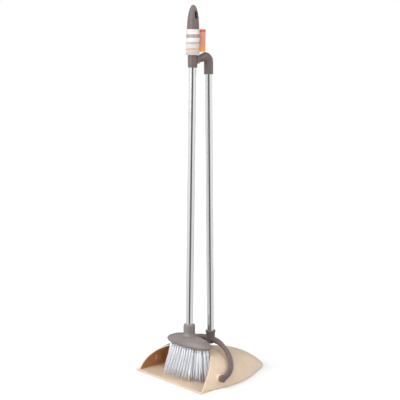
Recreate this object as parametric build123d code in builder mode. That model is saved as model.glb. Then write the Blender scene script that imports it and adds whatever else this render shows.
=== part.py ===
from build123d import *
import math
import os

# Dust pan with a swinging upright handle, and the broom that stands in its mouth.
# Millimetres. +Z is up and the mouth faces -Y. The origin is on the floor under the middle of the pan.
# Places along the pan are measured back from the front edge of its lip.

# Pan: a scoop with a flat floor, side walls and an arched hood, moulded in one
pan_length = 264.0
pan_half_width = 116.5
hood_height = 72.0
pan_wall = 2.5
base_radius = 6.5  # floor to wall, on the outside
least_radius = 0.8  # the same on the inside, where the wall takes most of it
mouth_start = 8.0  # where the side walls' front edge leaves the floor
mouth_depth = 98.0  # how far the hood's edge is drawn back at its middle
mouth_height = 67.3  # of the hood's edge there
mouth_bow = 13.6  # how far that edge bulges from a straight line, seen from the side
corner_reach = 32.0  # length of the flat corners beside the mouth
cut_height = 102.0  # cuts down into the pan start here, clear of the hood

# Scoop shape: share of the length, of the half width, of the height and of the base radius
scoop_stations = [
    (0.000, 1.000, 1.000, 0.65),
    (0.130, 1.000, 1.000, 0.80),
    (0.240, 1.000, 0.995, 1.00),
    (0.350, 0.995, 0.945, 1.00),
    (0.430, 0.978, 0.885, 1.00),
    (0.570, 0.885, 0.760, 1.00),
    (0.720, 0.715, 0.635, 1.00),
    (0.840, 0.565, 0.480, 0.90),
    (0.925, 0.430, 0.255, 0.70),
    (0.975, 0.290, 0.110, 0.50),
    (1.000, 0.090, 0.034, 0.18),
]
fullness = 0.64  # of the arched section's shoulders: 0.55 is an ellipse, 1 a box

# Lip: a soft strip over the floor's front edge
lip_half_width = 120.0
lip_nose = 6.0  # depth of the strip in front of the floor
lip_lap = 4.5  # depth of the strip on top of the floor
lap_half_width = 108.0
lip_edge = 0.9  # thickness of its front edge
lip_top = 0.7  # its thickness on the floor

# Pivot between the pan and the handle
pivot_back = 60.6
pivot_height = 24.2
pin_radius = 4.5
pin_clearance = 0.06
boss_radius = 9.5
boss_out = 1.4  # boss face outside the widest part of the pan
boss_in = 9.0  # boss face inside it
boss_end = 2.0  # closed end of the boss
side_gap = 0.4  # between the boss and the handle

# Handle: a yoke over the hood, an upright tube and an elbow with a cradle
yoke_tilt = 38.5  # of the band, in degrees above the floor
band_thickness = 8.0  # at the hubs
band_crown = 11.5  # its thickness at the top
band_width = 13.5
band_round = 3.6
band_steps = 18  # sections along the band
hub_radius = 7.2
yoke_rise = 54.3  # top of the band's middle line above the pivot
# The rest of that line down to the hub, measured from the hub: inwards, back and up
yoke_line = [
    (98.3, 66.6, 53.4),
    (76.3, 62.8, 49.8),
    (55.3, 57.5, 42.6),
    (35.3, 50.3, 33.6),
    (19.3, 40.9, 24.2),
    (7.3, 29.8, 16.0),
    (-0.1, 17.4, 9.0),
    (-2.1, 6.9, 3.6),
    (0.0, 0.0, 0.0),
]
socket_radius = 10.5
socket_low = 68.0
socket_length = 30.5
socket_floor = 7.0
socket_round = 5.2
bead_radius = 11.6
bead_height = 3.2

tube_radius = 8.0
tube_wall = 0.8
fit_gap = 0.05  # between a tube and its socket, each side
tube_back = 128.0
pan_tube_top = 708.0  # the elbow, the cradle and the broom's grip follow it

elbow_hold = 20.0  # how far the elbow comes down over the tube
elbow_radius = 10.3
elbow_bend = 11.2
elbow_rise = 19.0  # axis of the arm above the tube, where it leaves the elbow
arm_radius = 7.4
arm_drop = 6.0  # how far the arm goes down to the cradle
cradle_wall = 4.0
cradle_below = 8.0  # the cradle's edges below and above the arm's axis
cradle_above = 8.5
cradle_half_angle = 62.0
cradle_gap = 0.35  # between the cradle and the grip

# Broom: it leans back a little, from the pan's floor to the cradle. Heights are along its own axis.
broom_back = 62.5
broom_lean = 1.6  # degrees back
broom_turn = 2.4  # degrees round its own axis
cover_low = 76.5
cover_half_length = 71.0
cover_half_depth = 27.5
cover_tuck = 2.6  # how far the lower edge is drawn in
cover_rim = 4.5
cover_rise = 20.5
dome_power = 1.6  # 1 is a cone, 2 an ellipsoid
cover_wall = 2.2
block_depth = 5.0
block_gap = 0.15
neck_radius = 13.3
neck_length = 48.0  # from the cover's lower edge to the top of the neck
neck_round = 4.5
neck_flare = 5.0
neck_seat = 15.5  # the tube's end above the cover's lower edge

grip_below = 17.0  # lower end of the grip below the arm's axis
grip_length = 137.0
grip_end_radius = 10.4
grip_cradle_radius = 11.2  # where the card sleeve starts
grip_full_radius = 13.7
grip_full = 81.0  # widest place above the lower end
grip_shoulder = 27.0  # from there to where the sides turn in
grip_crown = 9.5  # half width of the rounded top
grip_depth = 32.0  # how far the tube goes up into the grip
hang_below = 22.5  # middle of the slot below the top of the grip
hang_width = 8.5
hang_length = 18.0

card_clear = 2.0  # the card's lower edge above the cradle
card_length = 56.5
card_thickness = 0.8
card_gap = 0.4
flag_raise = 7.5  # the flag's lower edge above the card's
flag_reach = 13.0
flag_angle = 45.0  # degrees round from the broom's right side

# Bristles: rows of tufts, each tuft a few strands that spread towards their ends
row_count = 6
row_pitch = 5.9
tuft_pitch = 8.0
tuft_span = 63.0  # half length of the middle rows
tuft_depth = 17.3  # half depth of the planted area
tuft_half = 1.9  # strands stand this far from the tuft's middle at the root
tip_half = 3.4  # the same at the tip
tip_depth = 2.2  # and from front to back
strand_root = 1.7
strand_tip = 1.5
root_sink = 1.0
bristle_low = 4.2
ragged = 5.0  # how far the ends differ in height
row_phase = 7.0  # the ends' heights go up and down in a wave along the rows, tufts and strands
tuft_phase = 2.4
strand_phase = 1.9
spread_x = 1.27
spread_front = 2.26  # of the rows on the mouth's side
spread_rear = 1.04  # of the rows that the hood's edge holds upright

# Heights that follow from the sizes above
socket_high = socket_low + socket_length
elbow_low = pan_tube_top - elbow_hold
elbow_height = pan_tube_top + elbow_rise
arm_height = elbow_height - arm_drop
cradle_low = arm_height - cradle_below
cradle_high = arm_height + cradle_above
neck_high = cover_low + neck_length
neck_floor = cover_low + neck_seat
grip_low = arm_height - grip_below
grip_high = grip_low + grip_length
grip_full_height = grip_low + grip_full
hang_height = grip_high - hang_below
card_low = cradle_high + card_clear
card_high = card_low + card_length


def back(distance):
    """Y of a place so far back from the front edge of the lip."""
    return distance - pan_length / 2


def scoop_section(station, inset):
    """Cross-section of the scoop, square to Y: flat base, round corners and an arched top."""
    along, wide, tall, rounded = station
    half = pan_half_width * wide - inset
    top = hood_height * tall - inset
    corner = max(base_radius * rounded - inset, least_radius)
    side = inset + corner
    rise = (top - side) * fullness
    with BuildSketch(Plane.XZ.offset(-back(pan_length * along))) as section:
        with BuildLine():
            Line((corner - half, inset), (half - corner, inset))
            RadiusArc((half - corner, inset), (half, side), -corner)
            Bezier((half, side), (half, side + rise), (half * fullness, top), (0, top))
            Bezier((0, top), (-half * fullness, top), (-half, side + rise), (-half, side))
            RadiusArc((-half, side), (corner - half, inset), -corner)
        make_face()
    return section.sketch


mouth_foot = (back(mouth_start), pan_wall)
mouth_top = (back(mouth_depth), mouth_height)
mouth_front = back(-lip_nose)
floor_front = back(lip_nose)
upward = (Align.CENTER, Align.CENTER, Align.MIN)

# Pan shell
with BuildPart() as pan_shell:
    loft(sections=[scoop_section(station, 0.0) for station in scoop_stations])
    loft(
        sections=[scoop_section(station, pan_wall) for station in scoop_stations[:-2]],
        mode=Mode.SUBTRACT,
    )
    with BuildSketch(Plane.YZ) as mouth:
        with BuildLine():
            edge = SagittaArc(mouth_foot, mouth_top, mouth_bow)
            Polyline(
                edge @ 1,
                (back(mouth_depth), cut_height),
                (mouth_front, cut_height),
                (mouth_front, pan_wall),
                edge @ 0,
            )
        make_face()
    extrude(amount=2 * pan_half_width, both=True, mode=Mode.SUBTRACT)
    with BuildSketch() as corners:
        with BuildLine():
            Polyline(
                (-lip_half_width, floor_front),
                (lip_half_width, floor_front),
                (pan_half_width, floor_front + corner_reach),
                (-pan_half_width, floor_front + corner_reach),
                close=True,
            )
        make_face()
    extrude(amount=pan_wall)
    with BuildSketch() as lip_seat:
        with Locations((0, floor_front)):
            Rectangle(4 * lip_half_width, 2 * lip_nose, align=(Align.CENTER, Align.MAX))
    extrude(amount=cut_height, mode=Mode.SUBTRACT)
    for side in (1, -1):
        outside = (side * (pan_half_width + boss_out), back(pivot_back), pivot_height)
        with Locations(Plane(outside, z_dir=(-side, 0, 0))):
            Cylinder(boss_radius, boss_out + boss_in, align=upward)
            Cylinder(
                pin_radius + pin_clearance, boss_out + boss_in - boss_end, align=upward, mode=Mode.SUBTRACT
            )

# Lip strip: a nose along the whole front edge and a lap on top of the floor, between the walls
with BuildPart() as lip_strip:
    with BuildSketch(Plane.YZ) as nose_profile:
        with BuildLine():
            Polyline(
                (back(0.0), 0),
                (floor_front, 0),
                (floor_front, pan_wall + lip_top),
                (back(0.0), lip_edge),
                close=True,
            )
        make_face()
    extrude(amount=lip_half_width, both=True)
    with BuildSketch(Plane.YZ) as lap_profile:
        with BuildLine():
            Polyline(
                (floor_front, pan_wall),
                (floor_front + lip_lap, pan_wall),
                (floor_front + lip_lap, pan_wall + lip_top / 2),
                (floor_front + lip_lap - lip_top, pan_wall + lip_top),
                (floor_front, pan_wall + lip_top),
                close=True,
            )
        make_face()
    extrude(amount=lap_half_width, both=True)

# Yoke: one band from pin to pin over the hood, with the socket for the tube
yoke_up = Vector(0, -math.sin(math.radians(yoke_tilt)), math.cos(math.radians(yoke_tilt)))
hub_face = pan_half_width + boss_out + side_gap
pin_end = pan_half_width - boss_in + boss_end + side_gap
tube_y = back(tube_back)
hub_middle = hub_face + band_thickness / 2
yoke_top = (0, tube_y, pivot_height + yoke_rise)
right_line = [
    (hub_middle - inwards, back(pivot_back + aft), pivot_height + up) for inwards, aft, up in yoke_line
]
left_line = [(-x, y, z) for x, y, z in reversed(right_line)]


def band_section(path, share):
    """Cross-section of the band at a share of its path, with its width along yoke_up."""
    along = path % share
    across = yoke_up - along * yoke_up.dot(along)
    thickness = band_thickness + (band_crown - band_thickness) * math.sin(math.pi * share) ** 2
    with BuildSketch(Plane(path @ share, x_dir=across, z_dir=along)) as section:
        RectangleRounded(band_width, thickness, band_round)
    return section.sketch


with BuildPart() as yoke:
    with BuildLine():
        band_path = Spline(*left_line, yoke_top, *right_line)
    loft(sections=[band_section(band_path, step / band_steps) for step in range(band_steps + 1)])
    for side in (1, -1):
        with Locations(Plane((side * pin_end, back(pivot_back), pivot_height), z_dir=(side, 0, 0))):
            Cylinder(pin_radius, hub_middle - pin_end, align=upward)
        with Locations(Plane((side * hub_face, back(pivot_back), pivot_height), z_dir=(side, 0, 0))):
            Cylinder(hub_radius, band_thickness, align=upward)
    with BuildSketch(Plane.YZ) as socket_profile:
        with BuildLine():
            Line((tube_y, socket_low), (tube_y + socket_radius - socket_round, socket_low))
            RadiusArc(
                (tube_y + socket_radius - socket_round, socket_low),
                (tube_y + socket_radius, socket_low + socket_round),
                -socket_round,
            )
            Polyline(
                (tube_y + socket_radius, socket_low + socket_round),
                (tube_y + socket_radius, socket_high - bead_height),
                (tube_y + bead_radius, socket_high - bead_height),
                (tube_y + bead_radius, socket_high),
                (tube_y, socket_high),
                (tube_y, socket_low),
            )
        make_face()
    revolve(axis=Axis((0, tube_y, 0), (0, 0, 1)))
    with BuildSketch(Plane.XY.offset(socket_low + socket_floor)) as socket_bore:
        with Locations((0, tube_y)):
            Circle(tube_radius + fit_gap)
    extrude(amount=socket_high, mode=Mode.SUBTRACT)

# Pan tube
with BuildPart() as pan_tube:
    with BuildSketch(Plane.XY.offset(socket_low + socket_floor)) as pan_tube_ring:
        with Locations((0, tube_y)):
            Circle(tube_radius)
            Circle(tube_radius - tube_wall, mode=Mode.SUBTRACT)
    extrude(amount=pan_tube_top - socket_low - socket_floor)

# Broom axis and the planes along it
lean = math.radians(broom_lean)
clip_plane = Plane(
    origin=(0, back(broom_back), 0),
    x_dir=(1, 0, 0),
    z_dir=(0, math.sin(lean), math.cos(lean)),
)
turn = math.radians(broom_turn)
broom_plane = Plane(
    origin=clip_plane.origin,
    x_dir=clip_plane.x_dir * math.cos(turn) + clip_plane.y_dir * math.sin(turn),
    z_dir=clip_plane.z_dir,
)
broom_axis = Axis(broom_plane.origin, broom_plane.z_dir)
broom_side = Plane(origin=broom_plane.origin, x_dir=broom_plane.x_dir, z_dir=-broom_plane.y_dir)
broom_edge = Plane(origin=broom_plane.origin, x_dir=broom_plane.y_dir, z_dir=broom_plane.x_dir)
cradle_radius = grip_cradle_radius + cradle_gap

# Elbow: socket on the tube, a bend forward and the cradle that the broom's grip lies in
grip_axis = broom_plane.from_local_coords((0, 0, arm_height)).Y
arm_start = tube_y - elbow_bend
arm_seat = grip_axis + cradle_radius + cradle_wall / 4
cradle_outer = cradle_radius + cradle_wall

with BuildPart() as elbow_clip:
    with BuildLine(Plane.YZ) as bend:
        Line((tube_y, elbow_low), (tube_y, elbow_height - elbow_bend))
        RadiusArc((tube_y, elbow_height - elbow_bend), (arm_start, elbow_height), -elbow_bend)
    with BuildSketch(Plane.XY.offset(elbow_low)) as elbow_round:
        with Locations((0, tube_y)):
            Circle(elbow_radius)
    sweep()
    with BuildSketch(Plane((0, arm_start, elbow_height), x_dir=(1, 0, 0), z_dir=(0, -1, 0))) as arm_thick:
        Circle(elbow_radius)
    with BuildSketch(Plane((0, arm_seat, arm_height), x_dir=(1, 0, 0), z_dir=(0, -1, 0))) as arm_thin:
        Circle(arm_radius)
    loft()
    with BuildSketch(clip_plane.offset(cradle_low)) as cradle:
        with BuildLine():
            inner = CenterArc((0, 0), cradle_radius, 90 - cradle_half_angle, 2 * cradle_half_angle)
            outer = CenterArc((0, 0), cradle_outer, 90 - cradle_half_angle, 2 * cradle_half_angle)
            Line(inner @ 0, outer @ 0)
            Line(inner @ 1, outer @ 1)
        make_face()
    extrude(amount=cradle_high - cradle_low)
    with BuildSketch(Plane.XY.offset(elbow_low)) as elbow_bore:
        with Locations((0, tube_y)):
            Circle(tube_radius + fit_gap)
    extrude(amount=pan_tube_top - elbow_low, mode=Mode.SUBTRACT)

# Broom tube
with BuildPart() as broom_tube:
    with BuildSketch(broom_plane.offset(neck_floor)) as broom_tube_ring:
        Circle(tube_radius)
        Circle(tube_radius - tube_wall, mode=Mode.SUBTRACT)
    extrude(amount=grip_low + grip_depth - neck_floor)

# Brush cover: a low elliptical dome with the tube's neck, recessed below for the bristle block
dome_low = cover_low + cover_rim
dome_top = dome_low + cover_rise
dome_steps = [0.0, 0.3, 0.55, 0.75, 0.88, 0.97]
recess_half_length = cover_half_length - cover_tuck - cover_wall
recess_half_depth = cover_half_depth - cover_tuck - cover_wall


def cover_section(height, shrink, share):
    """Ellipse of the cover at a height, drawn in by a distance and then scaled."""
    with BuildSketch(broom_plane.offset(height)) as section:
        Ellipse((cover_half_length - shrink) * share, (cover_half_depth - shrink) * share)
    return section.sketch


def dome_section(step):
    """Ellipse of the dome at a share of its rise."""
    share = (1 - step**dome_power) ** (1 / dome_power)
    return cover_section(dome_low + cover_rise * step, 0.0, share)


with BuildPart() as brush_cover:
    loft(sections=[cover_section(cover_low, cover_tuck, 1.0), cover_section(dome_low, 0.0, 1.0)])
    loft(sections=[dome_section(step) for step in dome_steps])
    with BuildSketch(broom_side) as neck_profile:
        with BuildLine():
            Polyline(
                (0, neck_high),
                (0, dome_low),
                (neck_radius, dome_low),
                (neck_radius + neck_flare, dome_top - neck_flare),
            )
            RadiusArc(
                (neck_radius + neck_flare, dome_top - neck_flare),
                (neck_radius, dome_top + neck_flare / 2),
                2 * neck_flare,
            )
            Line((neck_radius, dome_top + neck_flare / 2), (neck_radius, neck_high - neck_round))
            RadiusArc(
                (neck_radius, neck_high - neck_round), (neck_radius - neck_round, neck_high), -neck_round
            )
            Line((neck_radius - neck_round, neck_high), (0, neck_high))
        make_face()
    revolve(axis=broom_axis)
    with BuildSketch(broom_plane.offset(cover_low)) as block_recess:
        Ellipse(recess_half_length, recess_half_depth)
    extrude(amount=block_depth, mode=Mode.SUBTRACT)
    with BuildSketch(broom_plane.offset(neck_floor)) as neck_bore:
        Circle(tube_radius + fit_gap)
    extrude(amount=neck_high, mode=Mode.SUBTRACT)

# Broom grip: a bullet shape with a slot to hang it by
with BuildPart() as broom_grip:
    with BuildSketch(broom_side) as grip_profile:
        with BuildLine():
            Polyline((0, grip_low), (grip_end_radius, grip_low), (grip_cradle_radius, card_low))
            Bezier(
                (grip_cradle_radius, card_low),
                (grip_cradle_radius, (card_low + grip_full_height) / 2),
                (grip_full_radius, (card_low + grip_full_height) / 2),
                (grip_full_radius, grip_full_height),
            )
            Bezier(
                (grip_full_radius, grip_full_height),
                (grip_full_radius, grip_full_height + grip_shoulder),
                (grip_crown, grip_high),
                (0, grip_high),
            )
            Line((0, grip_high), (0, grip_low))
        make_face()
    revolve(axis=broom_axis)
    with BuildSketch(broom_plane.offset(grip_low)) as grip_bore:
        Circle(tube_radius + fit_gap)
    extrude(amount=grip_depth, mode=Mode.SUBTRACT)
    with BuildSketch(broom_edge) as hang_slot:
        with Locations((0, hang_height)):
            SlotOverall(hang_length, hang_width, rotation=90)
    extrude(amount=2 * grip_full_radius, both=True, mode=Mode.SUBTRACT)

# Card sleeve round the grip, with a flag standing out from it
card_radius = grip_full_radius + card_gap
with BuildPart() as hang_card:
    with BuildSketch(broom_plane.offset(card_low)) as sleeve:
        Circle(card_radius + card_thickness)
        Circle(card_radius, mode=Mode.SUBTRACT)
    extrude(amount=card_high - card_low)
    with BuildSketch(broom_plane.offset(card_low + flag_raise)) as flag:
        with Locations(Location((0, 0, 0), flag_angle)):
            with Locations((card_radius + card_thickness / 4, 0)):
                Rectangle(flag_reach + card_thickness, card_thickness, align=(Align.MIN, Align.CENTER))
    extrude(amount=card_length - flag_raise)

# Bristle rows: each row is a slice of the bristle block with its tufts
block_half_length = recess_half_length - block_gap
block_half_depth = recess_half_depth - block_gap
block_low = cover_low + block_gap
tuft_corners = [(-1, -1), (1, -1), (0, 0), (-1, 1), (1, 1)]


def strand(foot, end, low):
    """One straight strand from its root in the block to its ragged end."""
    with BuildSketch(broom_plane.offset(block_low + root_sink)) as root:
        with Locations(foot):
            Rectangle(strand_root, strand_root)
    with BuildSketch(broom_plane.offset(low)) as tip:
        with Locations(end):
            Rectangle(strand_tip, strand_tip)
    return loft(sections=[root.sketch, tip.sketch], ruled=True, mode=Mode.PRIVATE).solid()


def bristle_row(number):
    """One row of tufts with its slice of the block.

    number counts the rows from the mouth's side, from 0.
    """
    middle = (number - (row_count - 1) / 2) * row_pitch
    span = tuft_span * math.sqrt(1 - (middle / tuft_depth) ** 2)
    tufts = 1 + 2 * math.floor(span / tuft_pitch)
    spread_y = spread_front if middle < 0 else spread_rear
    strands = []
    for tuft in range(tufts):
        x = (tuft - (tufts - 1) / 2) * tuft_pitch
        for corner, (side, fore) in enumerate(tuft_corners):
            foot = (x + side * tuft_half, middle + fore * tuft_half)
            end = (x * spread_x + side * tip_half, middle * spread_y + fore * tip_depth)
            wave = math.sin(row_phase * number + tuft_phase * tuft + strand_phase * corner)
            strands.append(strand(foot, end, bristle_low + ragged * (1 + wave) / 2))
    edges = [middle - row_pitch / 2, middle + row_pitch / 2]
    if number == 0:
        edges[0] = -block_half_depth
    if number == row_count - 1:
        edges[1] = block_half_depth
    with BuildPart() as row:
        with BuildSketch(broom_plane.offset(block_low)):
            Ellipse(block_half_length, block_half_depth)
            with Locations((0, (edges[0] + edges[1]) / 2)):
                Rectangle(2 * block_half_length, edges[1] - edges[0], mode=Mode.INTERSECT)
        extrude(amount=block_depth - block_gap)
        add(strands)
    return row


bristle_rows = [bristle_row(number) for number in range(row_count)]

# Each piece is a file of its own
os.makedirs("parts", exist_ok=True)
pan_shell.part.label = "pan_shell"
export_step(pan_shell.part, "parts/pan_shell.step")
lip_strip.part.label = "lip_strip"
export_step(lip_strip.part, "parts/lip_strip.step")
yoke.part.label = "yoke"
export_step(yoke.part, "parts/yoke.step")
pan_tube.part.label = "pan_tube"
export_step(pan_tube.part, "parts/pan_tube.step")
elbow_clip.part.label = "elbow_clip"
export_step(elbow_clip.part, "parts/elbow_clip.step")
broom_tube.part.label = "broom_tube"
export_step(broom_tube.part, "parts/broom_tube.step")
brush_cover.part.label = "brush_cover"
export_step(brush_cover.part, "parts/brush_cover.step")
broom_grip.part.label = "broom_grip"
export_step(broom_grip.part, "parts/broom_grip.step")
hang_card.part.label = "hang_card"
export_step(hang_card.part, "parts/hang_card.step")
for number, row in enumerate(bristle_rows, start=1):
    row.part.label = f"bristle_row_{number}"
    export_step(row.part, f"parts/bristle_row_{number}.step")
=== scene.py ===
"""Looks of an upright dust pan and its long broom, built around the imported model.

Everything is in metres in the model's own frame: +Z is up, the mouth of the pan faces -Y and the
origin is on the floor under the middle of the pan.
"""

import logging
import math
import random
from dataclasses import dataclass, field
from enum import Enum
from typing import Sequence

import bmesh
import bpy
from mathutils import Matrix, Vector


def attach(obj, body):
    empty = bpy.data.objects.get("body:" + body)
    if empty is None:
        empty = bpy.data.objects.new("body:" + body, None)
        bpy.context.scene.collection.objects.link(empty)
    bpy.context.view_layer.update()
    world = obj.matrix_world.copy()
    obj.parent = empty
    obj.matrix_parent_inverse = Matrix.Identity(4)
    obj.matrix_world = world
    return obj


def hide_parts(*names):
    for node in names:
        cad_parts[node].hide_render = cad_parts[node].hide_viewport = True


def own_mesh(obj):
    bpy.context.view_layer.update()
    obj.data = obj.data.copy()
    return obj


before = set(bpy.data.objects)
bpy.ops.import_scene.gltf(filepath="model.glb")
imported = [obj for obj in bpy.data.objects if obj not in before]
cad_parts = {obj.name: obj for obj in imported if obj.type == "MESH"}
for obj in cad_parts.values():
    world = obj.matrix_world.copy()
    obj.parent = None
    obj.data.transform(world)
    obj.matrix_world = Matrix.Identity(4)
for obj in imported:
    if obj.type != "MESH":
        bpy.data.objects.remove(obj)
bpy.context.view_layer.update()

LOG = logging.getLogger("dust_pan_set")
MM = 0.001

# Turn in radians from one strand or lock of a tuft to the next, which spreads them evenly.
GOLDEN_ANGLE = 2.39996

Colour = tuple[float, float, float, float]
Point = tuple[float, float, float]
Range = tuple[float, float]
Spot = tuple[float, float]
Port = tuple[str, str]
Material = bpy.types.Material
Socket = bpy.types.NodeSocket


class Body(Enum):
    """The rigid bodies of the pieces that are made here."""

    BROOM = "broom"


class Slot(Enum):
    """The record's material slots of the pieces that are made here."""

    CARD = "card"
    BRISTLE = "bristle"


def srgb(red: int, green: int, blue: int) -> Colour:
    """Linear colour of an 8-bit display colour.

    Args:
        red: Red, 0 to 255.
        green: Green, 0 to 255.
        blue: Blue, 0 to 255.

    Returns:
        The colour with full alpha.
    """
    def linear(value: int) -> float:
        """Linear share of one channel."""
        share = value / 255
        return share / 12.92 if share <= 0.04045 else ((share + 0.055) / 1.055) ** 2.4

    return (linear(red), linear(green), linear(blue), 1.0)


def even_grey(level: float) -> Colour:
    """Linear grey, where a level of 1 is white."""
    return (level, level, level, 1.0)


class NodeSheet:
    """A node tree with short calls to add and join nodes."""

    def __init__(self, tree: bpy.types.NodeTree) -> None:
        """Take the tree that nodes are added to."""
        self.tree = tree

    def add(self, kind: str, **values: object) -> bpy.types.Node:
        """Add a node.

        Args:
            kind: Class name of the node without its "ShaderNode" start.
            **values: Properties of the node.

        Returns:
            The new node.
        """
        node = self.tree.nodes.new("ShaderNode" + kind)
        for name, value in values.items():
            setattr(node, name, value)
        return node

    def feed(self, target: Socket, value: object) -> None:
        """Give an input its value.

        Args:
            target: The input.
            value: The socket to link it to, or a plain value.
        """
        if isinstance(value, Socket):
            self.tree.links.new(value, target)
        else:
            target.default_value = value

    def lengthwise(self, stretch: float) -> Socket:
        """Add object coordinates for a pattern that is drawn out along Z.

        Args:
            stretch: Scale along Z, where a small one makes long streaks.

        Returns:
            The coordinates.
        """
        node = self.add("Mapping")
        node.inputs["Scale"].default_value = (1.0, 1.0, stretch)
        self.feed(node.inputs["Vector"], self.add("TexCoord").outputs["Object"])
        return node.outputs[0]

    def noise(self, where: Socket, scale: object, detail: float) -> Socket:
        """Add a noise texture.

        Args:
            where: Coordinates to read it at.
            scale: Its scale, in waves per metre, or the socket that gives it.
            detail: Its octaves.

        Returns:
            The noise value.
        """
        node = self.add("TexNoise")
        node.inputs["Detail"].default_value = detail
        self.feed(node.inputs["Scale"], scale)
        self.feed(node.inputs["Vector"], where)
        return node.outputs[0]

    def remap(self, value: Socket, given: Range, wanted: Range = (0.0, 1.0)) -> Socket:
        """Map a value from one range to another, smoothly.

        Args:
            value: The value.
            given: Its range.
            wanted: What the two ends of that range become.

        Returns:
            The mapped value.
        """
        node = self.add("MapRange", interpolation_type="SMOOTHSTEP")
        for name, number in zip(("From Min", "From Max", "To Min", "To Max"), (*given, *wanted)):
            node.inputs[name].default_value = number
        self.feed(node.inputs["Value"], value)
        return node.outputs["Result"]

    def times(self, first: Socket, second: Socket) -> Socket:
        """Multiply two values.

        Args:
            first: A value.
            second: Another value.

        Returns:
            Their product.
        """
        node = self.add("Math", operation="MULTIPLY")
        self.feed(node.inputs[0], first)
        self.feed(node.inputs[1], second)
        return node.outputs[0]

    def dot(self, first: Socket, second: object) -> Socket:
        """Multiply two vectors to a dot product.

        Args:
            first: A vector.
            second: Another vector, or the socket that gives one.

        Returns:
            Their dot product.
        """
        node = self.add("VectorMath", operation="DOT_PRODUCT")
        self.feed(node.inputs[0], first)
        self.feed(node.inputs[1], second)
        return node.outputs["Value"]

    def level(self, vector: Socket) -> Socket:
        """Take the height out of a vector.

        Args:
            vector: The vector.

        Returns:
            Its Z component.
        """
        node = self.add("SeparateXYZ")
        self.feed(node.inputs[0], vector)
        return node.outputs["Z"]

    def mix(self, factor: Socket, first: object, second: object) -> Socket:
        """Mix two colours.

        Args:
            factor: Share of the second colour.
            first: A colour, or the socket that gives one.
            second: A colour, or the socket that gives one.

        Returns:
            The mixed colour.
        """
        node = self.add("Mix", data_type="RGBA")
        self.feed(node.inputs[0], factor)
        self.feed(node.inputs[6], first)
        self.feed(node.inputs[7], second)
        return node.outputs[2]

    def bump(self, height: Socket, strength: float, distance: float) -> Socket:
        """Turn a height into a normal.

        Args:
            height: The height, 0 to 1.
            strength: How much of it shows.
            distance: Its size in metres.

        Returns:
            The normal.
        """
        node = self.add("Bump")
        node.inputs["Strength"].default_value = strength
        node.inputs["Distance"].default_value = distance
        self.feed(node.inputs["Height"], height)
        return node.outputs["Normal"]


def new_group(name: str, inputs: Sequence[Port], outputs: Sequence[Port]) -> bpy.types.NodeTree:
    """Start a node group.

    Args:
        name: Its name.
        inputs: Names and kinds of its inputs.
        outputs: Names and kinds of its outputs.

    Returns:
        The group, with its sockets and no nodes.
    """
    tree = bpy.data.node_groups.new(name, "ShaderNodeTree")
    for way, ports in (("INPUT", inputs), ("OUTPUT", outputs)):
        for port, kind in ports:
            tree.interface.new_socket(name=port, in_out=way, socket_type=kind)
    return tree


def new_material(name: str) -> tuple[Material, NodeSheet, bpy.types.Node]:
    """Start a material.

    Args:
        name: Its name.

    Returns:
        The material, its sheet of nodes and its shader.
    """
    made = bpy.data.materials.new(name)
    made.use_nodes = True
    return made, NodeSheet(made.node_tree), made.node_tree.nodes["Principled BSDF"]


class MouldedSkin:
    """Shared effect: the faint mottle and fine grain of moulded plastic."""

    NAME = "moulded_skin"
    INPUTS = (
        ("Colour", "NodeSocketColor"),
        ("Shade", "NodeSocketColor"),
        ("Mottle", "NodeSocketFloat"),
        ("Grain", "NodeSocketFloat"),
        ("Smooth", "NodeSocketFloat"),
        ("Rough", "NodeSocketFloat"),
    )
    OUTPUTS = (
        ("Colour", "NodeSocketColor"),
        ("Roughness", "NodeSocketFloat"),
        ("Height", "NodeSocketFloat"),
    )
    MOTTLE_DETAIL = 3.0
    MOTTLE_RANGE = (0.35, 0.7)
    GRAIN_DETAIL = 2.0

    @classmethod
    def group(cls) -> bpy.types.NodeTree:
        """Build the node group once.

        Returns:
            The group, with Colour, Roughness and Height outputs.
        """
        if cls.NAME in bpy.data.node_groups:
            return bpy.data.node_groups[cls.NAME]
        tree = new_group(cls.NAME, cls.INPUTS, cls.OUTPUTS)
        sheet = NodeSheet(tree)
        given = tree.nodes.new("NodeGroupInput").outputs
        result = tree.nodes.new("NodeGroupOutput").inputs
        where = sheet.add("TexCoord").outputs["Object"]
        broad = sheet.noise(where, given["Mottle"], cls.MOTTLE_DETAIL)
        share = sheet.remap(broad, cls.MOTTLE_RANGE)
        rough = sheet.add("Mix", data_type="FLOAT")
        sheet.feed(rough.inputs[0], share)
        sheet.feed(rough.inputs[2], given["Smooth"])
        sheet.feed(rough.inputs[3], given["Rough"])
        sheet.feed(result["Colour"], sheet.mix(share, given["Colour"], given["Shade"]))
        sheet.feed(result["Roughness"], rough.outputs[0])
        sheet.feed(result["Height"], sheet.noise(where, given["Grain"], cls.GRAIN_DETAIL))
        return tree


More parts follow.
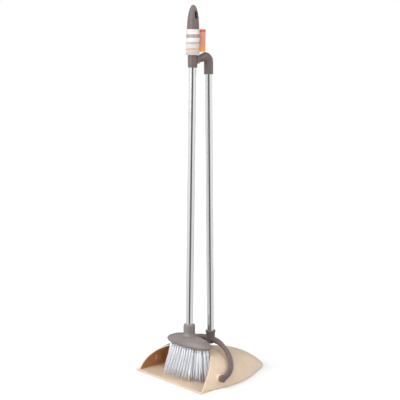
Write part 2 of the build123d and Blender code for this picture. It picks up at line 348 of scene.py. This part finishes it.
class PaintedInnerShade:
    """Mask of painted shade: the walls and roof that face the middle of the scoop, which are painted
    darker as if in the scoop's shade.
    """

    NAME = "inner_tone"
    OUTPUTS = (("Mask", "NodeSocketFloat"),)
    MIDDLE = (0.0, -60 * MM, 20 * MM)
    FACING_RANGE = (0.1, 0.5)
    FLOOR_RANGE = (0.6, 0.95)

    @classmethod
    def group(cls) -> bpy.types.NodeTree:
        """Build the node group once.

        Returns:
            The group, with a Mask output that is 0 on floors and on outer faces.
        """
        if cls.NAME in bpy.data.node_groups:
            return bpy.data.node_groups[cls.NAME]
        tree = new_group(cls.NAME, (), cls.OUTPUTS)
        sheet = NodeSheet(tree)
        result = tree.nodes.new("NodeGroupOutput").inputs
        place = sheet.add("TexCoord").outputs
        inward = sheet.add("VectorMath", operation="SUBTRACT")
        inward.inputs[0].default_value = cls.MIDDLE
        sheet.feed(inward.inputs[1], place["Object"])
        unit = sheet.add("VectorMath", operation="NORMALIZE")
        sheet.feed(unit.inputs[0], inward.outputs[0])
        facing = sheet.remap(sheet.dot(unit.outputs[0], place["Normal"]), cls.FACING_RANGE)
        upright = sheet.remap(sheet.level(place["Normal"]), cls.FLOOR_RANGE, (1.0, 0.0))
        sheet.feed(result["Mask"], sheet.times(facing, upright))
        return tree


@dataclass(frozen=True)
class PlasticFinish:
    """Moulded plastic: two near colours, a range of roughness, a fine grain and any painted shade inside
    a scoop.
    """

    name: str
    colour: Colour
    shade: Colour
    smooth: float
    rough: float
    grain: float
    bump: float
    # Painted shade: a darker colour that is mixed onto the walls and roof inside a scoop
    painted_shade: Colour | None = None
    mottle: float = 22.0
    bump_size: float = 0.4 * MM
    specular: float = 0.45

    def material(self) -> Material:
        """Build the material.

        Returns:
            The new material.
        """
        made, sheet, shader = new_material(self.name)
        skin = sheet.add("Group", node_tree=MouldedSkin.group())
        for name, value in (
            ("Colour", self.colour),
            ("Shade", self.shade),
            ("Mottle", self.mottle),
            ("Grain", self.grain),
            ("Smooth", self.smooth),
            ("Rough", self.rough),
        ):
            skin.inputs[name].default_value = value
        colour = skin.outputs["Colour"]
        # Painted shade: faces inside the scoop are mixed towards the darker colour, as if shaded
        if self.painted_shade:
            inside = sheet.add("Group", node_tree=PaintedInnerShade.group())
            colour = sheet.mix(inside.outputs["Mask"], colour, self.painted_shade)
        sheet.feed(shader.inputs["Base Color"], colour)
        sheet.feed(shader.inputs["Roughness"], skin.outputs["Roughness"])
        sheet.feed(shader.inputs["Specular IOR Level"], self.specular)
        sheet.feed(shader.inputs["Normal"], sheet.bump(skin.outputs["Height"], self.bump, self.bump_size))
        return made


@dataclass(frozen=True)
class TubeFinish:
    """Bright plated tube with faint lines from drawing it."""

    name: str
    colour: Colour
    shade: Colour
    smooth: float = 0.1
    rough: float = 0.2
    line_scale: float = 900.0
    line_detail: float = 3.0
    line_stretch: float = 0.004
    line_range: Range = (0.3, 0.7)

    def material(self) -> Material:
        """Build the material.

        Returns:
            The new material.
        """
        made, sheet, shader = new_material(self.name)
        lines = sheet.noise(sheet.lengthwise(self.line_stretch), self.line_scale, self.line_detail)
        rough = sheet.remap(lines, self.line_range, (self.smooth, self.rough))
        sheet.feed(shader.inputs["Metallic"], 1.0)
        sheet.feed(shader.inputs["Base Color"], sheet.mix(lines, self.colour, self.shade))
        sheet.feed(shader.inputs["Roughness"], rough)
        return made


@dataclass(frozen=True)
class Band:
    """A plain printed band across a card, between two heights, with blurred edges."""

    low: float
    high: float
    colour: Colour
    blur: float = 1.5 * MM


@dataclass(frozen=True)
class CardFinish:
    """Plain coated card with a little fibre in it and soft bands of print."""

    name: str
    colour: Colour
    shade: Colour
    bands: tuple[Band, ...]
    rough: float = 0.38
    fibre_scale: float = 60.0
    fibre_detail: float = 4.0
    fibre_range: Range = (0.3, 0.75)
    tooth_scale: float = 1800.0
    tooth_detail: float = 2.0
    tooth: float = 0.12
    tooth_size: float = 0.2 * MM

    def material(self) -> Material:
        """Build the material.

        Returns:
            The new material.
        """
        made, sheet, shader = new_material(self.name)
        where = sheet.add("TexCoord").outputs["Object"]
        height = sheet.level(where)
        fibre = sheet.remap(sheet.noise(where, self.fibre_scale, self.fibre_detail), self.fibre_range)
        colour = sheet.mix(fibre, self.colour, self.shade)
        for band in self.bands:
            above = sheet.remap(height, (band.low - band.blur, band.low))
            below = sheet.remap(height, (band.high, band.high + band.blur), (1.0, 0.0))
            colour = sheet.mix(sheet.times(above, below), colour, band.colour)
        tooth = sheet.noise(where, self.tooth_scale, self.tooth_detail)
        sheet.feed(shader.inputs["Base Color"], colour)
        sheet.feed(shader.inputs["Roughness"], self.rough)
        sheet.feed(shader.inputs["Normal"], sheet.bump(tooth, self.tooth, self.tooth_size))
        return made


@dataclass(frozen=True)
class BristleFinish:
    """Pale nylon with faint bluish streaks along the strands."""

    name: str
    colour: Colour
    shade: Colour
    smooth: float = 0.32
    rough: float = 0.5
    specular: float = 0.5
    streak_scale: float = 420.0
    streak_detail: float = 2.0
    streak_stretch: float = 0.12
    colour_range: Range = (0.35, 0.7)
    rough_range: Range = (0.3, 0.7)

    def material(self) -> Material:
        """Build the material.

        Returns:
            The new material.
        """
        made, sheet, shader = new_material(self.name)
        where = sheet.lengthwise(self.streak_stretch)
        streaks = sheet.noise(where, self.streak_scale, self.streak_detail)
        colour = sheet.mix(sheet.remap(streaks, self.colour_range), self.colour, self.shade)
        rough = sheet.remap(streaks, self.rough_range, (self.smooth, self.rough))
        sheet.feed(shader.inputs["Base Color"], colour)
        sheet.feed(shader.inputs["Roughness"], rough)
        sheet.feed(shader.inputs["Specular IOR Level"], self.specular)
        return made


def taupe(name: str, colour: Colour, shade: Colour) -> Material:
    """Material of one copy of the taupe plastic; the copies differ in colour alone, and the darker ones
    are painted shade.

    Args:
        name: The material's name.
        colour: Its colour.
        shade: Its darker mottle.

    Returns:
        The new material.
    """
    return PlasticFinish(
        name, colour, shade, smooth=0.34, rough=0.46, grain=1300.0, bump=0.07
    ).material()


@dataclass
class Finishes:
    """All materials of the set, each made once."""

    pan: Material = field(init=False)
    lip: Material = field(init=False)
    cover: Material = field(init=False)
    grip: Material = field(init=False)
    yoke: Material = field(init=False)
    tube: Material = field(init=False)
    card: Material = field(init=False)
    flag: Material = field(init=False)
    bristle: Material = field(init=False)

    def __post_init__(self) -> None:
        """Make every material."""
        self.pan = PlasticFinish(
            "pan_beige", srgb(218, 197, 173), srgb(212, 190, 166),
            # Painted shade: the dark brown on the scoop's inner walls and roof
            smooth=0.36, rough=0.46, grain=1500.0, bump=0.05, painted_shade=srgb(182, 126, 84),
        ).material()
        self.lip = PlasticFinish(
            "lip_greige", srgb(214, 193, 172), srgb(207, 185, 164),
            smooth=0.5, rough=0.62, grain=1100.0, bump=0.1,
        ).material()
        self.cover = taupe("taupe_plastic", srgb(121, 112, 110), srgb(114, 104, 102))
        # Painted shade: the grip and elbow take a darker copy of the cover's taupe, standing in for the
        # shade they sit in
        self.grip = taupe("shaded_handle_taupe", srgb(109, 97, 95), srgb(101, 90, 88))
        # Painted shade: the yoke takes a still darker copy of the same taupe, for the shade on its faces
        # towards the mouth
        self.yoke = taupe("shaded_yoke_taupe", srgb(104, 89, 87), srgb(96, 82, 80))
        self.tube = TubeFinish("bright_tube", srgb(237, 238, 238), srgb(223, 225, 225)).material()
        self.card = CardFinish(
            "white_card", srgb(220, 214, 209), srgb(212, 205, 200),
            (
                Band(743.0 * MM, 746.0 * MM, srgb(226, 176, 154)),
                Band(756.0 * MM, 759.5 * MM, srgb(178, 174, 178)),
                Band(769.5 * MM, 776.0 * MM, srgb(146, 138, 134)),
            ),
        ).material()
        self.flag = CardFinish(
            "orange_card", srgb(203, 141, 121), srgb(196, 134, 113),
            (
                Band(735.0 * MM, 746.0 * MM, srgb(226, 142, 72), 8.0 * MM),
                Band(783.0 * MM, 790.0 * MM, srgb(206, 84, 58), 3.0 * MM),
            ),
        ).material()
        self.bristle = BristleFinish("pale_nylon", srgb(252, 253, 255), srgb(240, 244, 252)).material()


def dress(node: str, material: Material) -> None:
    """Give a CAD node a material.

    Args:
        node: The node's name.
        material: What it is made of.
    """
    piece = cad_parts[node]
    if not piece.material_slots:
        piece.data.materials.append(material)
    for place in piece.material_slots:
        place.material = material
    LOG.info("dressed %s in %s", node, material.name)


def add_piece(name: str, mesh: bmesh.types.BMesh, materials: Sequence[Material]) -> bpy.types.Object:
    """Turn a mesh into an object of the scene.

    Args:
        name: The object's name.
        mesh: Its mesh, which is used up.
        materials: Its materials, in the order of the faces' indices.

    Returns:
        The new object.
    """
    data = bpy.data.meshes.new(name)
    bmesh.ops.recalc_face_normals(mesh, faces=mesh.faces)
    mesh.to_mesh(data)
    mesh.free()
    for material in materials:
        data.materials.append(material)
    piece = bpy.data.objects.new(name, data)
    bpy.context.scene.collection.objects.link(piece)
    return piece


def settle(piece: bpy.types.Object, body: Body) -> None:
    """Put a piece on its body.

    Args:
        piece: The piece.
        body: The body that it moves with.
    """
    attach(piece, body.value)
    LOG.info("made %s on %s", piece.name, body.value)


def prism(
    mesh: bmesh.types.BMesh, low: Sequence[Vector], high: Sequence[Vector]
) -> list[bmesh.types.BMFace]:
    """Add a closed prism between two outlines with as many points.

    Args:
        mesh: Mesh to add it to.
        low: Its lower outline.
        high: Its upper outline.

    Returns:
        Its faces.
    """
    under = [mesh.verts.new(point) for point in low]
    over = [mesh.verts.new(point) for point in high]
    faces = [mesh.faces.new(under), mesh.faces.new(over)]
    for here in range(len(under)):
        after = (here + 1) % len(under)
        faces.append(mesh.faces.new((under[here], under[after], over[after], over[here])))
    return faces


@dataclass(frozen=True)
class BroomAxis:
    """The broom's own line, which leans back from the pan's floor to the cradle."""

    foot: Point = (0.0, -69.5 * MM, 0.0)
    lean: float = math.radians(1.6)
    turn: float = math.radians(2.4)

    def at(self, across: float, deep: float, high: float) -> Vector:
        """Place in the model's frame.

        Args:
            across: Distance along the brush.
            deep: Distance back, square to the brush.
            high: Height along the broom.

        Returns:
            The point.
        """
        aft = Vector((0.0, math.cos(self.lean), -math.sin(self.lean)))
        up = Vector((0.0, math.sin(self.lean), math.cos(self.lean)))
        side = Vector((math.cos(self.turn), 0.0, 0.0)) + aft * math.sin(self.turn)
        return Vector(self.foot) + side * across + up.cross(side) * deep + up * high


@dataclass
class Pan:
    """Scoop and lip."""

    finishes: Finishes

    def dress(self) -> None:
        """Give the scoop and its lip their materials."""
        dress("pan_shell", self.finishes.pan)
        dress("lip_strip", self.finishes.lip)


@dataclass
class Handle:
    """Yoke, tube and elbow."""

    finishes: Finishes

    def dress(self) -> None:
        """Give the handle's pieces their materials."""
        dress("yoke", self.finishes.yoke)
        dress("pan_tube", self.finishes.tube)
        dress("elbow_clip", self.finishes.grip)


@dataclass
class BristleBed:
    """Rows of tufts under the brush cover, as fine strands that gather into pointed locks."""

    finishes: Finishes
    axis: BroomAxis = BroomAxis()
    # Rows and the tufts in them
    rows: int = 6
    row_pitch: float = 5.9 * MM
    tuft_pitch: float = 8.0 * MM
    tuft_span: float = 63.0 * MM
    tuft_depth: float = 17.3 * MM
    stagger: float = 1.3 * MM
    # Block that the tufts are set in
    block_low: float = 76.65 * MM
    block_high: float = 81.5 * MM
    block_half_length: float = 66.05 * MM
    block_half_depth: float = 22.55 * MM
    block_steps: int = 12
    block_merge: float = 0.01 * MM
    # Fan of the tufts, as the spread of their ends against that of their roots
    spread_across: float = 1.27
    spread_front: float = 2.26
    spread_rear: float = 1.04
    # Ends of a tuft
    low: float = 2.9 * MM
    ragged: float = 1.6 * MM
    tip_across: float = 4.3 * MM
    tip_front: float = 6.4 * MM
    tip_rear: float = 5.2 * MM
    tip_ragged: float = 1.0 * MM
    # Pointed locks that a tuft's ends gather into
    locks: int = 4
    lock_radius: float = 0.9 * MM
    lock_lift: float = 3.0 * MM
    lock_swirl: float = 0.4
    point: float = 5.2 * MM
    # Strands
    strands: int = 54
    strand_radius: float = 0.42 * MM
    strand_taper: float = 0.35
    strand_swirl: float = 0.3
    strand_sides: int = 3
    root_radius: float = 2.2 * MM
    root_depth: float = 1.0 * MM
    bow: Range = (0.15, 0.4)
    steps: int = 4
    pressed: float = 0.45
    seed: int = 7

    def strand(self, mesh: bmesh.types.BMesh, points: Sequence[Vector], turn: float) -> None:
        """Add one thin strand.

        Args:
            mesh: Mesh to add it to.
            points: Its middle line, from root to tip.
            turn: How far its section is turned round.
        """
        sides = self.strand_sides
        rings = []
        for step, point in enumerate(points):
            radius = self.strand_radius * (1.0 - self.strand_taper * step / (len(points) - 1))
            ring = []
            for corner in range(sides):
                angle = turn + corner * math.tau / sides
                out = Vector((math.cos(angle), math.sin(angle), 0.0)) * radius
                ring.append(mesh.verts.new(point + out))
            rings.append(ring)
        for low, high in zip(rings, rings[1:]):
            for corner in range(sides):
                after = (corner + 1) % sides
                face = mesh.faces.new((low[corner], low[after], high[after], high[corner]))
                face.smooth = True
        mesh.faces.new(rings[0])
        mesh.faces.new(rings[-1])

    def lock_ends(self, draw: random.Random, root: Spot, lift: float) -> list[Point]:
        """Where the locks of a tuft end.

        Args:
            draw: Source of chance.
            root: Place of the tuft on the block, across and deep.
            lift: How far its ends stand above the lowest ones.

        Returns:
            The ends, each across, deep and high.
        """
        across, deep = root
        spread, reach = (
            (self.spread_front, self.tip_front) if deep < 0 else (self.spread_rear, self.tip_rear)
        )
        ends = []
        for lock in range(self.locks):
            ray = math.sqrt((lock + 0.5) / self.locks)
            angle = lock * GOLDEN_ANGLE + draw.uniform(-self.lock_swirl, self.lock_swirl)
            tip_across = across * self.spread_across + ray * math.cos(angle) * self.tip_across
            tip_deep = deep * spread + ray * math.sin(angle) * reach
            lowest = self.low + tip_deep * math.sin(self.axis.lean)
            ends.append((tip_across, tip_deep, lowest + lift + draw.uniform(0.0, self.lock_lift)))
        return ends

    def tuft(self, mesh: bmesh.types.BMesh, draw: random.Random, root: Spot, lift: float) -> None:
        """Add one tuft of strands that spread towards the pointed ends of their locks.

        Args:
            mesh: Mesh to add it to.
            draw: Source of chance.
            root: Place of the tuft on the block, across and deep.
            lift: How far its ends stand above the lowest ones.
        """
        across, deep = root
        ends = self.lock_ends(draw, root, lift)
        top = self.block_low + self.root_depth
        for number in range(self.strands):
            ray = math.sqrt((number + 0.5) / self.strands)
            angle = number * GOLDEN_ANGLE + draw.uniform(-self.strand_swirl, self.strand_swirl)
            side, fore = ray * math.cos(angle), ray * math.sin(angle)
            start = (across + side * self.root_radius, deep + fore * self.root_radius)
            tip_across, tip_deep, tip_low = ends[number % self.locks]
            end = (tip_across + side * self.lock_radius, tip_deep + fore * self.lock_radius)
            low = tip_low + draw.uniform(0.0, self.tip_ragged) + self.point * ray * ray
            bow = draw.uniform(*self.bow)
            points = []
            for step in range(self.steps + 1):
                share = step / self.steps
                curve = share * (1 - bow) + share * share * bow
                points.append(
                    self.axis.at(
                        start[0] + (end[0] - start[0]) * curve,
                        start[1] + (end[1] - start[1]) * curve,
                        top + (low - top) * share,
                    )
                )
            self.strand(mesh, points, draw.uniform(0.0, math.tau))

    def block_slice(self, mesh: bmesh.types.BMesh, fore: float, aft: float) -> None:
        """Add a row's slice of the bristle block, which is an ellipse seen from above.

        Args:
            mesh: Mesh to add it to.
            fore: Its edge at the mouth's side.
            aft: Its edge at the back.
        """
        outline = []
        for sign, near, far in ((1, fore, aft), (-1, aft, fore)):
            for step in range(self.block_steps + 1):
                deep = near + (far - near) * step / self.block_steps
                share = min(abs(deep) / self.block_half_depth, 1.0)
                across = sign * self.block_half_length * math.sqrt(max(1 - share * share, 0.0))
                if not outline or math.dist(outline[-1], (across, deep)) > self.block_merge:
                    outline.append((across, deep))
        if math.dist(outline[0], outline[-1]) < self.block_merge:
            outline.pop()
        under = [self.axis.at(across, deep, self.block_low) for across, deep in outline]
        over = [self.axis.at(across, deep, self.block_high) for across, deep in outline]
        for face in prism(mesh, under, over):
            face.material_index = 1

    def row(self, number: int, middle: float, draw: random.Random) -> bmesh.types.BMesh:
        """Make one row.

        Args:
            number: Its number, from 0 at the mouth's side.
            middle: How far back its middle line is.
            draw: Source of chance.

        Returns:
            The mesh of its slice of the block and its tufts.
        """
        mesh = bmesh.new()
        fore, aft = middle - self.row_pitch / 2, middle + self.row_pitch / 2
        if number == 0:
            fore = -self.block_half_depth
        if number == self.rows - 1:
            aft = self.block_half_depth
        self.block_slice(mesh, fore, aft)
        span = self.tuft_span * math.sqrt(1 - (middle / self.tuft_depth) ** 2)
        tufts = 1 + 2 * math.floor(span / self.tuft_pitch)
        shift = self.stagger * (-1) ** number
        for tuft in range(tufts):
            across = (tuft - (tufts - 1) / 2) * self.tuft_pitch - shift
            lift = draw.uniform(0.0, self.ragged)
            self.tuft(mesh, draw, (across, middle), lift)
        return mesh

    def build(self) -> None:
        """Build every row in place of its CAD solid."""
        draw = random.Random(self.seed)
        for number in range(self.rows):
            middle = (number - (self.rows - 1) / 2) * self.row_pitch
            mesh = self.row(number, middle, draw)
            piece = add_piece(
                f"bristles_{number + 1}", mesh, (self.finishes.bristle, self.finishes.cover)
            )
            settle(piece, Body.BROOM)
            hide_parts(f"bristle_row_{number + 1}")
            if middle < 0:
                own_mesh(piece)


@dataclass
class CardSleeve:
    """Card wrapped round the grip, with a coloured flag standing out from it."""

    finishes: Finishes
    axis: BroomAxis = BroomAxis()
    low: float = 731.5 * MM
    high: float = 788.0 * MM
    radius: float = 14.1 * MM
    thickness: float = 0.8 * MM
    flag_low: float = 739.0 * MM
    flag_high: float = 788.0 * MM
    flag_reach: float = 13.0 * MM
    flag_angle: float = math.radians(45.0)
    flag_edge: float = 0.5 * MM
    sides: int = 72

    @property
    def outer(self) -> float:
        """Radius of the sleeve's outer face."""
        return self.radius + self.thickness

    def sleeve(self, mesh: bmesh.types.BMesh) -> None:
        """Add the sleeve, with smooth faces inside and outside.

        Args:
            mesh: Mesh to add it to.
        """
        section = (
            (self.radius, self.low),
            (self.outer, self.low),
            (self.outer, self.high),
            (self.radius, self.high),
        )
        outside, inside = 1, 3
        rings = []
        for step in range(self.sides):
            angle = step * math.tau / self.sides
            rings.append([
                mesh.verts.new(self.axis.at(ray * math.cos(angle), ray * math.sin(angle), high))
                for ray, high in section
            ])
        for step, ring in enumerate(rings):
            after = rings[(step + 1) % self.sides]
            for corner in range(len(section)):
                follow = (corner + 1) % len(section)
                face = mesh.faces.new((ring[corner], ring[follow], after[follow], after[corner]))
                face.smooth = corner in (outside, inside)

    def flag(self, mesh: bmesh.types.BMesh) -> None:
        """Add the flag, with a pointed outer edge and its root inside the sleeve's wall.

        Args:
            mesh: Mesh to add it to.
        """
        half = self.thickness / 2
        near, far = self.radius + self.thickness / 4, self.outer + self.flag_reach
        shoulder = far - self.flag_edge
        section = ((near, -half), (shoulder, -half), (far, 0.0), (shoulder, half), (near, half))
        sine, cosine = math.sin(self.flag_angle), math.cos(self.flag_angle)
        outlines = []
        for high in (self.flag_low, self.flag_high):
            outlines.append([
                self.axis.at(out * cosine - side * sine, out * sine + side * cosine, high)
                for out, side in section
            ])
        for face in prism(mesh, *outlines):
            face.material_index = 1

    def build(self) -> None:
        """Build the sleeve and its flag in place of the CAD card."""
        mesh = bmesh.new()
        self.sleeve(mesh)
        self.flag(mesh)
        piece = add_piece("card_sleeve", mesh, (self.finishes.card, self.finishes.flag))
        settle(piece, Body.BROOM)
        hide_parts("hang_card")


@dataclass
class Broom:
    """Tube, brush cover, grip, card sleeve and bristles."""

    finishes: Finishes

    def dress(self) -> None:
        """Give the broom's rigid pieces their materials."""
        dress("broom_tube", self.finishes.tube)
        dress("brush_cover", self.finishes.cover)
        dress("broom_grip", self.finishes.grip)

    def build(self) -> None:
        """Build the bristles and the card sleeve."""
        BristleBed(self.finishes).build()
        CardSleeve(self.finishes).build()


@dataclass(frozen=True)
class Lamp:
    """A far lamp, given by the way it shines from and how wide it looks, in degrees."""

    name: str
    place: Point
    strength: float
    width: float

    def hang(self) -> None:
        """Add the lamp to the scene."""
        lamp = bpy.data.lights.new(self.name, "SUN")
        lamp.energy = self.strength
        lamp.angle = math.radians(self.width)
        holder = bpy.data.objects.new(self.name, lamp)
        holder.rotation_euler = Vector(self.place).to_track_quat("Z", "Y").to_euler()
        bpy.context.scene.collection.objects.link(holder)


@dataclass
class Studio:
    """Floor, light and camera."""

    # Camera
    eye: Point = (1.9680, -1.6244, 0.7806)
    azimuth: float = math.radians(51.02)
    pitch: float = math.radians(8.42)
    roll: float = math.radians(-0.48)
    lens: float = 101.9
    sensor: float = 36.0
    far: float = 100.0
    # Floor
    floor_half: float = 14.0
    floor_colour: Colour = even_grey(0.97)
    floor_rough: float = 0.9
    # Light on matt faces
    lamps: tuple[Lamp, ...] = (
        Lamp("key", (0.66, 0.30, 0.69), 0.85, 12.0),
        Lamp("fill", (0.05, -0.80, 0.60), 3.0, 70.0),
    )
    dome_toward: Point = (0.95, -0.20, -0.10)
    dome_range: Range = (-0.45, 0.45)
    dome_strength: float = 0.44
    dome_low: Colour = even_grey(0.55)
    dome_high: Colour = even_grey(1.05)
    # Room that shiny faces see
    wall: Colour = even_grey(0.97)
    strip: Colour = even_grey(0.14)
    strip_range: Range = (0.82, 0.93)
    fade_range: Range = (-0.28, -0.03)
    fade: Range = (0.8, 1.0)

    def floor(self) -> None:
        """Lay the pale floor."""
        half = self.floor_half
        corners = ((-half, -half), (half, -half), (half, half), (-half, half))
        mesh = bmesh.new()
        mesh.faces.new([mesh.verts.new((x, y, 0.0)) for x, y in corners])
        made, sheet, shader = new_material("pale_floor")
        sheet.feed(shader.inputs["Base Color"], self.floor_colour)
        sheet.feed(shader.inputs["Roughness"], self.floor_rough)
        sheet.feed(shader.inputs["Specular IOR Level"], 0.0)
        floor = add_piece("floor", mesh, (made,))
        floor.visible_glossy = False

    def dome(self, sheet: NodeSheet, way: Socket) -> Socket:
        """Add the light that matt faces get, brighter on the right.

        Args:
            sheet: Nodes of the world.
            way: Direction that is looked in.

        Returns:
            The light.
        """
        share = sheet.remap(sheet.dot(way, Vector(self.dome_toward).normalized()), self.dome_range)
        light = sheet.add("Background")
        sheet.feed(light.inputs["Color"], sheet.mix(share, self.dome_low, self.dome_high))
        sheet.feed(light.inputs["Strength"], self.dome_strength)
        return light.outputs[0]

    def room(self, sheet: NodeSheet, way: Socket) -> Socket:
        """Add what shiny faces see: white walls, a dark strip at each end and a fade downwards.

        Args:
            sheet: Nodes of the world.
            way: Direction that is looked in.

        Returns:
            The light.
        """
        ahead = sheet.add("Math", operation="ABSOLUTE")
        line = (math.sin(self.azimuth), -math.cos(self.azimuth), 0.0)
        sheet.feed(ahead.inputs[0], sheet.dot(way, line))
        share = sheet.remap(ahead.outputs[0], self.strip_range)
        light = sheet.add("Background")
        sheet.feed(light.inputs["Color"], sheet.mix(share, self.wall, self.strip))
        sheet.feed(light.inputs["Strength"], sheet.remap(sheet.level(way), self.fade_range, self.fade))
        return light.outputs[0]

    def sky(self) -> None:
        """Light the room for matt and for shiny faces, and show the camera plain white."""
        world = bpy.data.worlds.new("studio")
        bpy.context.scene.world = world
        world.use_nodes = True
        tree = world.node_tree
        tree.nodes.clear()
        sheet = NodeSheet(tree)
        rays = sheet.add("LightPath").outputs
        way = sheet.add("TexCoord").outputs["Generated"]
        plain = sheet.add("Background")
        sheet.feed(plain.inputs["Color"], even_grey(1.0))
        lit = sheet.add("MixShader")
        sheet.feed(lit.inputs[0], rays["Is Diffuse Ray"])
        sheet.feed(lit.inputs[1], self.room(sheet, way))
        sheet.feed(lit.inputs[2], self.dome(sheet, way))
        seen = sheet.add("MixShader")
        sheet.feed(seen.inputs[0], rays["Is Camera Ray"])
        sheet.feed(seen.inputs[1], lit.outputs[0])
        sheet.feed(seen.inputs[2], plain.outputs[0])
        sheet.feed(sheet.add("OutputWorld").inputs["Surface"], seen.outputs[0])

    def camera(self) -> None:
        """Stand the camera where the photograph was taken from."""
        ahead = Vector((
            -math.sin(self.azimuth) * math.cos(self.pitch),
            math.cos(self.azimuth) * math.cos(self.pitch),
            -math.sin(self.pitch),
        ))
        right = ahead.cross(Vector((0.0, 0.0, 1.0))).normalized()
        above = right.cross(ahead)
        across = right * math.cos(self.roll) + above * math.sin(self.roll)
        upward = above * math.cos(self.roll) - right * math.sin(self.roll)
        data = bpy.data.cameras.new("camera")
        data.lens = self.lens
        data.sensor_width = self.sensor
        data.clip_end = self.far
        camera = bpy.data.objects.new("camera", data)
        turn = Matrix((across, upward, -ahead)).transposed().to_4x4()
        camera.matrix_world = Matrix.Translation(Vector(self.eye)) @ turn
        bpy.context.scene.collection.objects.link(camera)
        bpy.context.scene.camera = camera

    def build(self) -> None:
        """Set up the whole studio."""
        self.camera()
        self.floor()
        self.sky()
        for lamp in self.lamps:
            lamp.hang()
        bpy.context.scene.view_settings.view_transform = "Standard"


def main() -> None:
    """Build the set and the studio round it."""
    logging.basicConfig(level=logging.INFO, format="%(name)s: %(message)s")
    Studio().build()
    finishes = Finishes()
    Pan(finishes).dress()
    Handle(finishes).dress()
    broom = Broom(finishes)
    broom.dress()
    broom.build()


if __name__ == "__main__":
    main()
